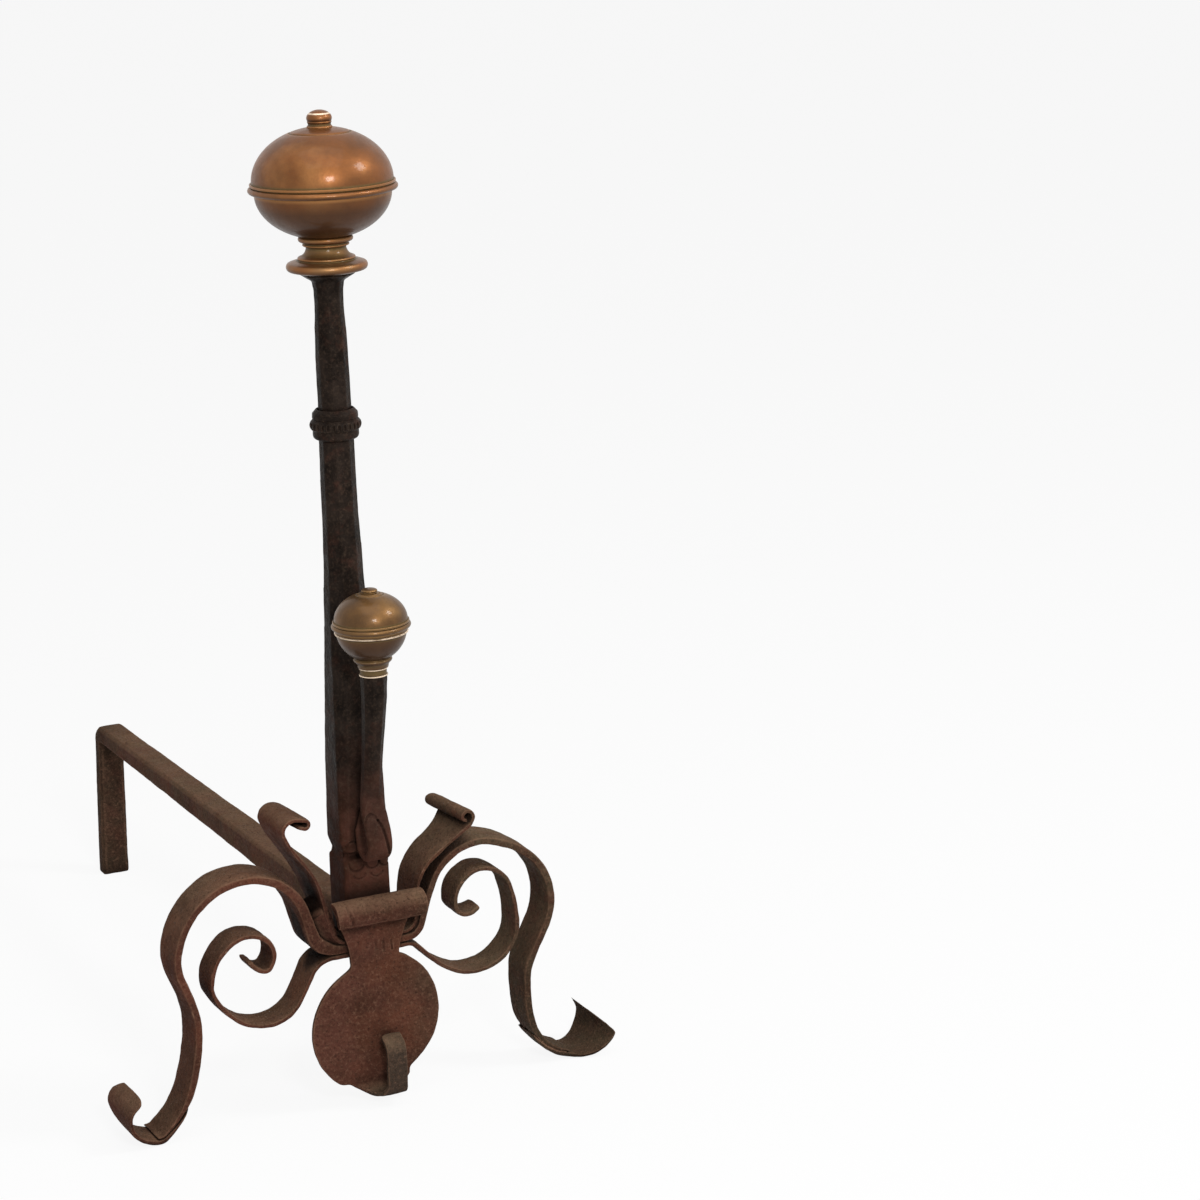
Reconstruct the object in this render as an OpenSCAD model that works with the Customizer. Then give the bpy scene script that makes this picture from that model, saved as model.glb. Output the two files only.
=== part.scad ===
// Wrought iron andiron with a large and a small brass finial.
// +Z is up and the hearth is z = 0. X runs across the front, the front faces -Y
// and the billet bar runs back along +Y. The origin is on the hearth under the middle of it all.

/* [Post] */
// Side of the square block at the foot of the post
block_side = 34; // [26:0.5:42]
// Height of the foot block
block_height = 58.5; // [40:0.5:70]
// Height of the V groove between the block and the shaft
groove_height = 12.5; // [8:0.5:20]
// Side of the post at the bottom of the groove
groove_side = 31; // [24:0.5:32]
// Side of the shaft just above the groove
shaft_foot_side = 36; // [30:0.5:40]
// Side of the shaft under the collar
shaft_top_side = 23; // [20:0.5:26]
// Length of the long shaft, from the groove to the collar
shaft_length = 288.5; // [220:1:340]
// Length of the short shaft, from the collar to the finial
neck_length = 94.5; // [60:1:120]
// Side of the short shaft at its slimmest
neck_side = 19; // [17:0.5:20]
// Diameter of the tenon that carries the finial
post_tenon_d = 11; // [8:0.5:13]

/* [Collar] */
// Height of the collar on the post
collar_height = 21; // [18:1:28]
// Diameter over the bead of the collar
collar_bead_d = 36; // [32:0.5:40]
// Diameter over the fillets above and below the bead
collar_fillet_d = 32; // [29:0.5:33]
// Number of nicks round the bead
collar_nicks = 28; // [20:1:36]

/* [Billet bar] */
// Width of the billet bar
bar_width = 22; // [16:0.5:28]
// Thickness of the billet bar over its rear leg
bar_thickness = 15; // [12:0.5:18]
// Depth of the billet bar where it meets the block
bar_root_depth = 24; // [18:0.5:26]
// Length of the billet bar behind the post, to the back of the rear leg
bar_length = 566; // [400:2:650]
// Radius of the bend above the rear leg, on the middle of the bar
bar_bend_r = 9; // [8.5:0.5:20]
// Degrees by which the rear leg splays backwards
rear_splay = 6; // [0:0.5:10]

/* [Straps] */
// Straight run of the leg strap on each side of the middle of the post
leg_start = 28; // [26:1:40]
// Height of the middle of the leg strap under the post
saddle_height = 119; // [100:1:140]
// Thickness of the leg strap
leg_thickness = 6.5; // [5:0.5:8]
// Thickness of the leg strap where it is upset in the first bend of its left arm
leg_corner_thickness = 11; // [8:0.5:11.5]
// Width of the leg strap over its arches
leg_arch_width = 35; // [30:0.5:42]
// Width of the leg strap at the feet
leg_foot_width = 30; // [24:0.5:36]
// Thickness of the toes lapped under the feet
toe_thickness = 3.5; // [3:0.25:4.5]
// Width of the flared toes
toe_width = 50; // [40:1:60]
// Length of the lap between foot and toe
toe_lap = 42; // [30:1:60]
// Thickness of the leaf strap
leaf_thickness = 3; // [2.5:0.25:3.5]
// Width of the leaf strap at its rolled ends
leaf_end_width = 49; // [36:1:60]
// Thickness of the volute strap
volute_thickness = 3.5; // [2.5:0.25:4]
// Width of the volute strap at its curled ends
volute_end_width = 25; // [20:1:33]

/* [Front plate] */
// Thickness of the front plate
plate_thickness = 4; // [3:0.25:5]
// Radius of the disc
disc_r = 49; // [40:0.5:56]
// Width of the waist above the disc
plate_waist_width = 36; // [28:1:46]
// Width of the rolled top of the plate
roll_width = 69; // [56:1:76]
// Width of the loop below the disc
loop_width = 15; // [10:0.5:20]

/* [Front post] */
// Side of the front post under its ball
front_post_top_side = 18; // [16:0.5:20]
// Side of the front post at its slimmest
front_post_side = 14; // [12:0.5:16]
// Thickness of the eye at the foot of the front post
eye_thickness = 5.5; // [4:0.25:6]
// Width of the eye at the foot of the front post
eye_width = 19; // [12:0.5:22]
// Diameter of the tenon that carries the small ball
front_tenon_d = 7; // [5:0.5:8]

/* [Large finial] */
// Radius of the finial's body at its widest
finial_r = 48.5; // [40:0.5:56]
// Height of the finial's lower bowl as a full half oval
finial_bowl_h = 32.5; // [28:0.5:44]
// Height of the finial's upper dome as a full half oval
finial_dome_h = 37; // [34:0.5:50]
// Radius of the foot flange
finial_flange_r = 28; // [24:0.5:32]
// Height of the turned foot under the bowl
finial_foot_h = 25.5; // [20:0.5:30]

/* [Small ball] */
// Radius of the ball's body at its widest
ball_r = 25.5; // [20:0.5:30]
// Height of the ball's lower bowl as a full half oval
ball_bowl_h = 24; // [20:0.5:30]
// Height of the ball's upper dome as a full half oval
ball_dome_h = 19.5; // [18:0.5:27]
// Radius of the collar under the ball
ball_collar_r = 13.5; // [11:0.5:15]

/* [Brass castings] */
// Wall of the hollow brass castings
brass_wall = 2; // [1.5:0.25:3]

/* [Hidden] */

black_iron = "#2e2826";
rusty_iron = "#4d3229";
old_brass = "#8f6b38";

$fn = 64;
bend_step = 12;         // largest turn between two rings of a bent bar, in degrees
fit = 0.2;              // clearance all round a tenon, and where a piece is set against another
octagon_share = 0.293;  // chamfer of a square bar that makes it a regular octagon
strap_chamfer = 1;      // chamfer along the edges of the straps

// Bends are lists of [length along the bar, degrees turned over it]; + turns left.
left_leg_bends = [[leg_start * 0.8, 0], [leg_start * 0.2, 0], [24, 76], [18, 1], [40, -55], [47, -56],
    [47, -47], [21, -33], [18, 6], [33, 28]];
left_foot_bends = [[18, 6], [41, 35], [8, 55]];
left_toe_bends = [[12, 24], [17, 50], [9, 55], [7, 8]];
right_leg_bends = [[leg_start, 0], [16, 77], [33, -13], [53, -78], [34, -25], [49, -60], [16, -18],
    [24, -4], [15, 30]];
right_foot_bends = [[24, 16], [32, 46], [10, 14]];
right_toe_bends = [[13, 27], [14, 27], [12, 32]];
right_toe_back_bends = [[12, 25], [17, 66], [16, 58]];
left_leaf_bends = [[leg_start - 10, 0], [16, 72], [21, 12], [30, -25], [16, -10], [21, 20],
    [9, 66], [9, 56], [7, 4], [9, 178], [7, 12]];
left_leaf_back_bends = [[leg_start - 10, 0], [16, 72], [21, 12], [30, -25], [16, -10], [21, 20],
    [9, 66], [9, 56], [3, 4], [9, 178], [7, 12]];
right_leaf_bends = [[leg_start - 3, 0], [16, 92], [23, -15], [26, -40], [18, -1], [13, 0], [6, 33],
    [8, 97], [7, 103], [5, 103]];
right_leaf_back_bends = [[leg_start - 3, 0], [16, 92], [23, -15], [26, -40], [15, 5], [11, 0], [7, 27],
    [8, 97], [7, 103], [5, 103]];
left_volute_bends = [[28, 0], [22, -67], [20, 10], [22, 44], [29, 48], [27, 29], [11, 28],
    [33, 55], [27, 68], [25, 94], [6, 68], [13, 52]];
right_volute_bends = [[26, 0], [14, -51], [16, 7], [23, 23], [35, 54], [30, 55], [30, 21],
    [22, 52], [19, 52], [25, 63], [11, 74], [14, 50]];
front_post_up_bends = [[24, 2], [31, -5], [33, 15]];
front_post_down_bends = [[11, 24], [15, 24], [13, -30], [12, -55], [10, -61], [9, -53], [11, -18],
    [15, 1]];
front_post_lean = 12;   // degrees off upright where the front post starts to thin into its eye
roll_bends = [[9, -45], [14, -85], [12, -85], [9, -80], [7, -80]];
tail_bends = [[13, 88], [13, 92], [22, 0], [12, 66], [6, 0]];

// One step along a bend: d degrees over the length l.
function step(q, d, l) = let (c = abs(d) < 0.01 ? l : l * sin(d / 2) / (d * PI / 360))
    [q[0] + c * cos(q[2] + d / 2), q[1] + c * sin(q[2] + d / 2), q[2] + d, q[3] + l];
// The points [x, z, heading, length so far] of one bend after the point q, in n steps.
function bend_run(q, bend, n) = let (d = bend[1] / n, l = bend[0] / n)
    [for (i = 1, p = step(q, d, l); i <= n; i = i + 1, p = step(p, d, l)) p];
function bend_count(bend) = max(1, ceil(abs(bend[1]) / bend_step));
// The whole route through a list of bends from q. A second list, like, sets the number of steps.
function route(q, bends, like, i = 0) = i == len(bends) ? [q]
    : let (run = bend_run(q, bends[i], bend_count(like[i])))
      concat([q], [for (k = [0:1:len(run) - 2]) run[k]],
          route(run[len(run) - 1], bends, like, i + 1));
function bent(q, bends) = route(q, bends, bends);
function mirrored(bends) = [for (b = bends) [b[0], -b[1]]];
function last(list) = list[len(list) - 1];
// A route that runs out both ways from x, z: lengths are negative along the first list.
function both_ways(x, z, h, back, ahead) = both_routes(bent([x, z, h + 180, 0], back),
    bent([x, z, h, 0], ahead));
function both_routes(a, b) =
    concat([for (i = [len(a) - 1:-1:1]) [a[i][0], a[i][1], a[i][2] - 180, -a[i][3]]], b);
// The point q moved to its left by d.
function beside(q, d) = [q[0] - d * sin(q[2]), q[1] + d * cos(q[2]), q[2], q[3]];

// The four corners of one edge of a chamfered flat bar: v is the edge, i points inwards.
function edge_corners(q, t, c, v, i) = [for (k = [[t / 2 - c, v], [t / 2, v + i * c],
    [c - t / 2, v], [-t / 2, v + i * c]]) let (p = beside(q, k[0])) [p[0], k[1], p[1]]];
// A ring of eight corners round the bar; its back edge may follow a route of its own.
function ring(front, back, t, c, lo, hi) =
    let (f = edge_corners(front, t, c, lo, 1), b = edge_corners(back, t, c, hi, -1))
    [b[0], b[1], f[1], f[0], f[2], f[3], b[3], b[2]];
// A ring of a bar of width w, centred.
function bar_ring(q, w, t, c) = ring(q, q, t, c, -w / 2, w / 2);

// A closed solid through the rings.
module skin(rings) {
    n = len(rings[0]);
    m = len(rings);
    sides = [for (i = [0:m - 2], k = [0:n - 1]) let (a = i * n, b = a + n, l = (k + 1) % n)
        k < n / 2 ? [[a + k, b + k, b + l], [a + k, b + l, a + l]]
        : [[a + k, b + k, a + l], [b + k, b + l, a + l]]];
    ends = [for (k = [1:n - 2]) let (e = (m - 1) * n) [[0, k, k + 1], [e, e + k + 1, e + k]]];
    faces = [for (pair = concat(sides, ends)) each pair];
    polyhedron(points = [for (r = rings) each r], faces = faces, convexity = 8);
}

// Everything is laid out round the post. It is then moved forwards so that the origin is under
// the middle of the andiron, between the bead of the small ball and the rear leg.
module placed() {
    depth_middle = (last(bar_route)[0] + bar_thickness / 2 + ball_y - ball_r - ball_bead / 2) / 2;
    translate([0, -depth_middle, 0]) children();
}

// ---- Levels, from the hearth up ----
leg_z = saddle_height;
volute_z = leg_z - (leg_thickness + volute_thickness) / 2;
leaf_z = leg_z + (leg_thickness + leaf_thickness) / 2;
block_z = leaf_z + leaf_thickness / 2;
groove_z = block_z + block_height;
shaft_z = groove_z + groove_height;
collar_z = shaft_z + shaft_length;
neck_z = collar_z + collar_height;
post_top_z = neck_z + neck_length;
front_y = block_side / 2;                        // front of the block and the straps' edges

// ---- Main post ----
groove_chamfer = 4;
block_chamfer = 2.5;
shaft_foot_chamfer = 4.5;
shaft_rings = 12;
octagon_by = 0.64;      // share of the shaft's length at which it has become an octagon
post_head_r = 12;       // head of the tenon riveted over under the straps
post_head_h = 4;
foot_tenon_d = 16;
bar_tenon_d = 10;
bar_tenon_length = 14;
shoulder_side = 36;     // the post is upset into a shoulder under the finial
shoulder_h = 6;
bar_z = block_z + bar_thickness / 2 + 1.5;      // middle of the billet bar at the block
button_seat = 6;        // how far the upper tenons reach into their buttons

// Side of the shaft at the share u of its length: it swells towards the foot.
function shaft_side(u) =
    shaft_foot_side - (shaft_foot_side - shaft_top_side) * u * u * (3 - 2 * u);
function shaft_chamfer(u) = let (k = min(1, u / octagon_by))
    shaft_foot_chamfer * (1 - k) + octagon_share * shaft_side(u) * k;
// A level ring of the post, a square with its corners cut by c.
function post_ring(z, side, c) = let (h = side / 2, g = side / 2 - c)
    [[g, -h, z], [h, -g, z], [h, g, z], [g, h, z], [-g, h, z], [-h, g, z], [-h, -g, z], [-g, -h, z]];
function octagon(z, side) = post_ring(z, side, octagon_share * side);
post_rings = concat(
    [post_ring(block_z, block_side, block_chamfer),
        post_ring(groove_z - 1.5, block_side, block_chamfer),
        post_ring(groove_z, block_side - 2, block_chamfer + 0.5),
        post_ring(groove_z + groove_height * 0.35, groove_side, groove_chamfer),
        post_ring(groove_z + groove_height * 0.7, shaft_foot_side - 2, shaft_foot_chamfer),
        post_ring(groove_z + groove_height * 0.88, shaft_foot_side - 0.7, shaft_foot_chamfer)],
    [for (i = [0:shaft_rings]) let (u = i / shaft_rings)
        post_ring(shaft_z + u * shaft_length, shaft_side(u), shaft_chamfer(u))],
    [octagon(neck_z, shaft_top_side - 1.5),
        octagon(neck_z + neck_length * 0.4, (shaft_top_side + neck_side) / 2),
        octagon(post_top_z - 4 * shoulder_h, neck_side),
        octagon(post_top_z - 2 * shoulder_h, neck_side + 0.3),
        octagon(post_top_z - shoulder_h, neck_side + 2),
        octagon(post_top_z - shoulder_h * 0.2, shoulder_side),
        octagon(post_top_z, shoulder_side)]);

module main_post() {
    color(black_iron) placed() difference() {
        union() {
            skin(post_rings);
            translate([0, 0, post_top_z - 1])
                cylinder(d = post_tenon_d, h = finial_seat_z + button_seat - post_top_z + 1);
            translate([0, 0, volute_z - volute_thickness / 2 - 1])
                cylinder(d = foot_tenon_d, h = block_z - volute_z + volute_thickness / 2 + 2);
            translate([0, 0, volute_z - volute_thickness / 2]) mirror([0, 0, 1])
                rivet_head(post_head_r, post_head_h);
        }
        translate([0, front_y + 1, bar_z]) rotate([90, 0, 0])
            cylinder(d = bar_tenon_d + 2 * fit, h = bar_tenon_length + 2);
    }
}

// A hammered rivet head on the plane z = 0.
module rivet_head(r, h) {
    rotate_extrude() polygon([[0, 0], [r, 0], [r * 0.95, h * 0.45], [r * 0.7, h * 0.85],
        [r * 0.35, h], [0, h]]);
}

// ---- Collar on the post ----
nick_w = 1.6;
nick_depth = 1.1;

module post_collar() {
    h = collar_height;
    r = collar_fillet_d / 2;
    bead_r = h * 0.21;
    bead_z = h * 0.46;
    color(black_iron) placed() translate([0, 0, collar_z]) difference() {
        rotate_extrude() {
            polygon([[0, 0], [r - 1.5, 0], [r - 0.4, h * 0.05], [r, h * 0.12], [r, h * 0.25],
                [r - 1, h * 0.32], [r - 1, h * 0.62], [r, h * 0.7], [r - 0.2, h * 0.86],
                [collar_bore_r + 0.6, h], [0, h]]);
            translate([collar_bead_d / 2 - bead_r, bead_z]) circle(bead_r);
        }
        translate([0, 0, -1]) cylinder(r = collar_bore_r, h = h + 2);
        for (i = [0:collar_nicks - 1]) rotate([0, 0, i * 360 / collar_nicks])
            translate([collar_bead_d / 2 - nick_depth, -nick_w / 2, bead_z - bead_r / 2])
                cube([bead_r, nick_w, bead_r]);
    }
}

// The collar's bore clears the corners of the octagon inside it.
collar_bore_r = shaft_top_side / 2 / cos(22.5) + fit / 2;

// ---- Billet bar and rear leg, one forging ----
bar_chamfer = 2.5;
bar_fall = 0.5;         // degrees that the bar drops towards the back
rear_foot_width = bar_width + 1.5;
rear_foot_bend = 14;    // length over which the rear leg turns upright again above the hearth
bar_turn = 90 - bar_fall - rear_splay;
bar_run = bar_length - bar_bend_r - bar_thickness / 2;
bar_bends = [[bar_run, 0], [bar_bend_r * bar_turn * PI / 180, -bar_turn]];
bar_start = [front_y + fit, bar_z, -bar_fall, 0];
bar_top_route = bent(bar_start, bar_bends);
rear_foot_drop = -step([0, 0, rear_splay - 90, 0], -rear_splay, rear_foot_bend)[1];
rear_leg_l = (last(bar_top_route)[1] - rear_foot_drop) / cos(rear_splay);
bar_route = bent(bar_start,
    concat(bar_bends, [[rear_leg_l / 2, 0], [rear_leg_l / 2, 0], [rear_foot_bend, -rear_splay]]));
bar_total = last(bar_route)[3];

// The bar deepens towards the block on its underside, and its top stays straight.
module billet_bar() {
    width = [[bar_length, bar_width], [bar_total, rear_foot_width]];
    depth = [[0, bar_root_depth], [bar_run, bar_thickness]];
    color(rusty_iron) placed() rotate([0, 0, 90]) {
        skin([for (q = bar_route) let (t = lookup(q[3], depth))
            bar_ring(beside(q, (bar_thickness - t) / 2), lookup(q[3], width), t, bar_chamfer)]);
        translate([front_y - bar_tenon_length + 1, 0, bar_z]) rotate([0, 90, 0])
            cylinder(d = bar_tenon_d, h = bar_tenon_length + 1);
    }
}

// ---- Leg strap and toes ----
// The toe is scarfed under the end of the leg: as the leg thins, the toe thickens.
scarf_end = 1.2;        // thickness left at the tip of the scarf
strap_bore_d = foot_tenon_d + 2 * fit;

// How far below the middle line the sole reaches, and the lowest point of the sole on a route.
sole_drop = leg_thickness / 2;
function sole_z(path) = min([for (q = path) beside(q, -sole_drop)[1]]);
// A leg that is lengthened by a straight piece above the foot until its sole is on z = 0.
function leg_and_toe(leg, foot, toe, toe_back) =
    let (above = bent([0, leg_z, 0, 0], leg), q = last(above),
        extra = sole_z(bent(q, concat(foot, toe))) / -sin(q[2]),
        ankle = step(q, 0, max(0.5, extra)))
    [concat(above, bent(ankle, foot)), route(last(bent(ankle, foot)), toe, toe_back)];
left_parts = leg_and_toe(left_leg_bends, left_foot_bends, left_toe_bends, left_toe_bends);
right_parts = leg_and_toe(right_leg_bends, right_foot_bends, right_toe_bends,
    right_toe_back_bends);
function flipped(path) = [for (i = [len(path) - 1:-1:1]) let (q = path[i]) [-q[0], q[1], -q[2], -q[3]]];
leg_route = concat(flipped(left_parts[0]), right_parts[0]);
left_total = last(left_parts[0])[3];
right_total = last(right_parts[0])[3];

// Width of the leg at the length s of an arm that is total long.
function leg_width(s, total) = lookup(s, [[0, block_side], [50, block_side],
    [total * 0.3, leg_arch_width], [total * 0.55, leg_arch_width - 2],
    [total * 0.82, leg_foot_width], [total, leg_foot_width]]);
// Thickness of an arm: it swells to corner in its first bend and thins out over the scarf.
function leg_t(s, total, corner = leg_thickness) = lookup(s, [[leg_start * 0.8, leg_thickness],
    [leg_start + 6, corner], [leg_start + 16, corner],
    [leg_start + 36, (corner + leg_thickness) / 2], [leg_start + 100, leg_thickness],
    [total - toe_lap, leg_thickness], [total, scarf_end]]);

module tenon_bore(z, t) {
    translate([0, 0, z - t]) cylinder(d = strap_bore_d, h = 2 * t);
}

// The left arm swells on the inside of its first bend, and both scarfs are cut from below.
module leg_strap() {
    color(rusty_iron) placed() difference() {
        skin([for (q = leg_route)
            let (s = abs(q[3]), total = q[3] < 0 ? left_total : right_total,
                t = leg_t(s, total, q[3] < 0 ? leg_corner_thickness : leg_thickness))
            bar_ring(beside(q, abs(leg_thickness - t) / 2), leg_width(s, total), t,
                min(strap_chamfer, t / 3))]);
        tenon_bore(leg_z, leg_thickness);
    }
}

// A toe: lapped under the foot, then it curls up and flares. The back edge has its own bends.
// The edges are lists of [share of the curl, distance of the edge from the middle of the foot].
module toe(arm, back_bends, front_edge, back_edge) {
    total = last(arm[0])[3];
    lap = [for (q = arm[0]) if (q[3] > total - toe_lap * 0.9 && q[3] < total - 1) q];
    back = bent(last(arm[0]), back_bends);
    curl = last(arm[1])[3] - total;
    thick = [[0, leg_thickness - scarf_end], [curl * 0.2, toe_thickness], [curl * 0.6, toe_thickness],
        [curl, toe_thickness * 0.5]];
    skin(concat(
        [for (q = lap) let (t = leg_thickness - leg_t(q[3], total))
            bar_ring(beside(q, (t - leg_thickness) / 2), leg_foot_width, t, t / 4)],
        [for (i = [0:len(back) - 1])
            let (s = back[i][3] - total, t = lookup(s, thick), d = (t - leg_thickness) / 2)
            ring(beside(arm[1][i], d), beside(back[i], d), t, t / 4,
                -lookup(s / curl, front_edge), lookup(s / curl, back_edge))]));
}

module left_toe() {
    h = leg_foot_width / 2;
    w = toe_width;
    color(rusty_iron) placed() mirror([1, 0, 0]) toe(left_parts, left_toe_bends,
        [[0, h], [0.5, w * 0.38], [0.85, w * 0.46], [1, w * 0.4]],
        [[0, h], [0.3, w * 0.42], [0.6, w * 0.58], [0.85, w * 0.58], [1, w * 0.44]]);
}

module right_toe() {
    h = leg_foot_width / 2;
    w = toe_width;
    color(rusty_iron) placed() toe(right_parts, right_toe_back_bends,
        [[0, h], [0.5, w * 0.45], [1, w * 0.47]],
        [[0, h], [0.4, w * 0.46], [0.7, w * 0.54], [1, w * 0.52]]);
}

// ---- Leaf strap ----
// The back edges have bends of their own, so that the rolled ends lie askew.
leaf_route = both_ways(0, leaf_z, 0, mirrored(left_leaf_bends), right_leaf_bends);
leaf_back_route = both_routes(
    route([0, leaf_z, 180, 0], mirrored(left_leaf_back_bends), left_leaf_bends),
    route([0, leaf_z, 0, 0], right_leaf_back_bends, right_leaf_bends));
leaf_slim = 56;         // the front edge is straight this far, past the rolled plate
leaf_reach = 120;       // where the front edge has flared to its full width

// The left leaf is broadest at its shoulder and the right one at its roll. The edges are lists of
// [length along the strap, distance of the edge from its middle].
module leaf_strap() {
    h = block_side / 2;
    w = leaf_end_width / 2;
    front_edge = [[-leaf_reach, w], [-leaf_slim, h], [leaf_slim, h], [leaf_reach, w]];
    back_edge = [[-162, w * 0.8], [-126, w], [-100, w * 1.5], [-84, w * 1.65], [-66, w * 1.1],
        [-50, h], [90, h], [108, h * 0.9], [121, w * 0.85], [140, w * 1.25]];
    color(rusty_iron) placed() difference() {
        skin([for (i = [0:len(leaf_route) - 1]) let (q = leaf_route[i])
            ring(q, leaf_back_route[i], leaf_thickness, strap_chamfer / 2,
                -lookup(q[3], front_edge), lookup(q[3], back_edge))]);
        tenon_bore(leaf_z, leaf_thickness);
    }
}

// ---- Volute strap ----
volute_route = both_ways(0, volute_z, 0, mirrored(left_volute_bends), right_volute_bends);
volute_total = last(volute_route)[3];

module volute_strap() {
    taper = [[0, block_side], [block_side * 0.6, block_side], [block_side * 1.6, volute_end_width * 1.08],
        [volute_total - 12, volute_end_width], [volute_total, volute_end_width * 0.72]];
    color(rusty_iron) placed() difference() {
        skin([for (q = volute_route)
            bar_ring(q, lookup(abs(q[3]), taper), volute_thickness, strap_chamfer / 2)]);
        tenon_bore(volute_z, volute_thickness);
    }
}

// ---- Front plate: roll, neck, disc and loop, one sheet ----
// It is laid out looking from the side, with x forwards, and then turned to face the front.
plate_x = front_y + plate_thickness / 2;
tail_gap = 8;           // from the hearth to the underside of the loop
loop_r = 8.5;           // bend under the loop, on the middle of the sheet
loop_centre_x = 7;
disc_centre_x = -1;
disc_skew = 4;          // the hammered disc hangs lower on its left side by twice this
waist_above_disc = disc_r * 0.98;
tail_z = tail_gap + plate_thickness / 2 + loop_r;
disc_z = tail_z + disc_r * 0.89;
waist_z = disc_z + waist_above_disc;
roll_z = block_z + 21.5;     // where the sheet starts to bend into the roll
neck_flare = 7;         // widening of the neck on each side just under the roll
disc_rings = 20;
disc_levels = [for (i = [0:disc_rings]) let (a = i * 180 / disc_rings)
    disc_z + (waist_above_disc - disc_z + tail_z) / 2 + (waist_above_disc + disc_z - tail_z) / 2 * cos(a)];
neck_levels = [for (k = [0, 0.2, 0.36, 0.7]) roll_z + (waist_z - roll_z) * k];
plate_flat = [for (z = concat(neck_levels, disc_levels)) [plate_x, z, -90, roll_z - z]];
roll_route = bent([plate_x, roll_z, 90, 0], roll_bends);
tail_route = bent([plate_x, tail_z, -90, roll_z - tail_z], tail_bends);
plate_route = concat(
    [for (i = [len(roll_route) - 1:-1:1]) let (q = roll_route[i]) [q[0], q[1], q[2] - 180, -q[3]]],
    plate_flat, [for (i = [1:len(tail_route) - 1]) tail_route[i]]);
roll_s = last(roll_route)[3];
neck_s = roll_z - waist_z;
tail_s = roll_z - tail_z;

// Edges of the sheet at the length s along it: [left, right] seen from the front.
neck_edges = let (h = plate_waist_width / 2, r = roll_width / 2)
    [[-roll_s, -r + 6, r - 3], [-roll_s * 0.6, -r + 2, r + 1], [-roll_s * 0.25, -r + 1, r + 1],
        [0, -h - neck_flare * 1.4, h + neck_flare * 1.8],
        [neck_s * 0.2, -h - neck_flare * 1.1, h + neck_flare * 1.5],
        [neck_s * 0.36, -h - neck_flare * 0.8, h + neck_flare * 1.2],
        [neck_s * 0.7, -h - neck_flare * 0.15, h + neck_flare * 0.4], [neck_s, -h, h]];
tail_edges = [[tail_s, -disc_r * 0.5, disc_r * 0.46],
    [tail_s + 8, loop_centre_x - loop_width * 1.3, loop_centre_x + loop_width * 0.68],
    [tail_s + 16, loop_centre_x - loop_width * 0.8, loop_centre_x + loop_width * 0.54],
    [tail_s + 26, loop_centre_x - loop_width / 2, loop_centre_x + loop_width / 2]];
function half_chord(z) = sqrt(max(0, disc_r * disc_r - z * z));
function plate_edges(s) = let (z = roll_z - s - disc_z) s <= neck_s ? lookup_pair(s, neck_edges)
    : s >= tail_s ? lookup_pair(s, tail_edges)
    : [min(disc_centre_x - half_chord(z + disc_skew), -plate_waist_width / 2),
        max(disc_centre_x + half_chord(z - disc_skew), (z < 0 ? tail_edges[0][2] : plate_waist_width / 2))];
function lookup_pair(s, rows) = [lookup(s, [for (r = rows) [r[0], r[1]]]),
    lookup(s, [for (r = rows) [r[0], r[2]]])];

module front_plate() {
    color(rusty_iron) placed() rotate([0, 0, -90])
        skin([for (q = plate_route) let (e = plate_edges(q[3]))
            ring(q, q, plate_thickness, strap_chamfer / 2, e[0], e[1])]);
}

// ---- Front post with its eye, one forging ----
// It is laid out looking from the side, like the plate. The tip of the eye is welded to the post.
eye_tip_rise = 26;      // from the foot of the shaft to the tip of the eye
front_post_shape = both_ways(0, 0, -90 - front_post_lean, front_post_up_bends,
    front_post_down_bends);
front_post_shift = [shaft_foot_side / 2 + fit + eye_thickness / 2, shaft_z + eye_tip_rise]
    - [last(front_post_shape)[0], last(front_post_shape)[1]];
front_post_route = [for (q = front_post_shape)
    [q[0] + front_post_shift[0], q[1] + front_post_shift[1], q[2], q[3]]];
front_post_top = front_post_route[0];
front_post_up_l = -front_post_top[3];
front_post_foot_l = last(front_post_route)[3];
eye_tip_l = 12;         // length over which the tip of the eye thins out

module front_post() {
    width = [[-front_post_up_l, front_post_top_side], [-front_post_up_l * 0.4, front_post_side],
        [0, front_post_side], [18, eye_width], [front_post_foot_l - eye_tip_l, eye_width],
        [front_post_foot_l, eye_width * 0.45]];
    thick = [[-front_post_up_l, front_post_top_side], [-front_post_up_l * 0.4, front_post_side],
        [0, front_post_side], [18, eye_thickness], [front_post_foot_l - eye_tip_l, eye_thickness],
        [front_post_foot_l, eye_thickness * 0.4]];
    color(black_iron) placed() rotate([0, 0, -90]) {
        skin([for (q = front_post_route)
            let (w = lookup(q[3], width), t = lookup(q[3], thick),
                d = q[3] > front_post_foot_l - eye_tip_l ? (eye_thickness - t) / 2 : 0)
            bar_ring(beside(q, d), w, t, octagon_share * min(w, t))]);
        translate([front_post_top[0], 0, front_post_top[1] - 1])
            cylinder(d = front_tenon_d, h = ball_seat_z + ball_seat_depth - front_post_top[1] + 1);
    }
}

// ---- Brass castings ----
// A quarter oval of radius r and height h, from the rim at 0 to the radius hub.
function quarter(r, h, hub, n = 12) = let (top = acos(hub / r))
    [for (i = [0:n]) [r * cos(top * i / n), h * sin(top * i / n)]];
band_share = 1.4;       // height of bead and fillet together, as a share of the bead
function reversed(list) = [for (i = [len(list) - 1:-1:0]) list[i]];
function hub_height(r, h, hub) = h * sqrt(1 - hub * hub / (r * r));

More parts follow.
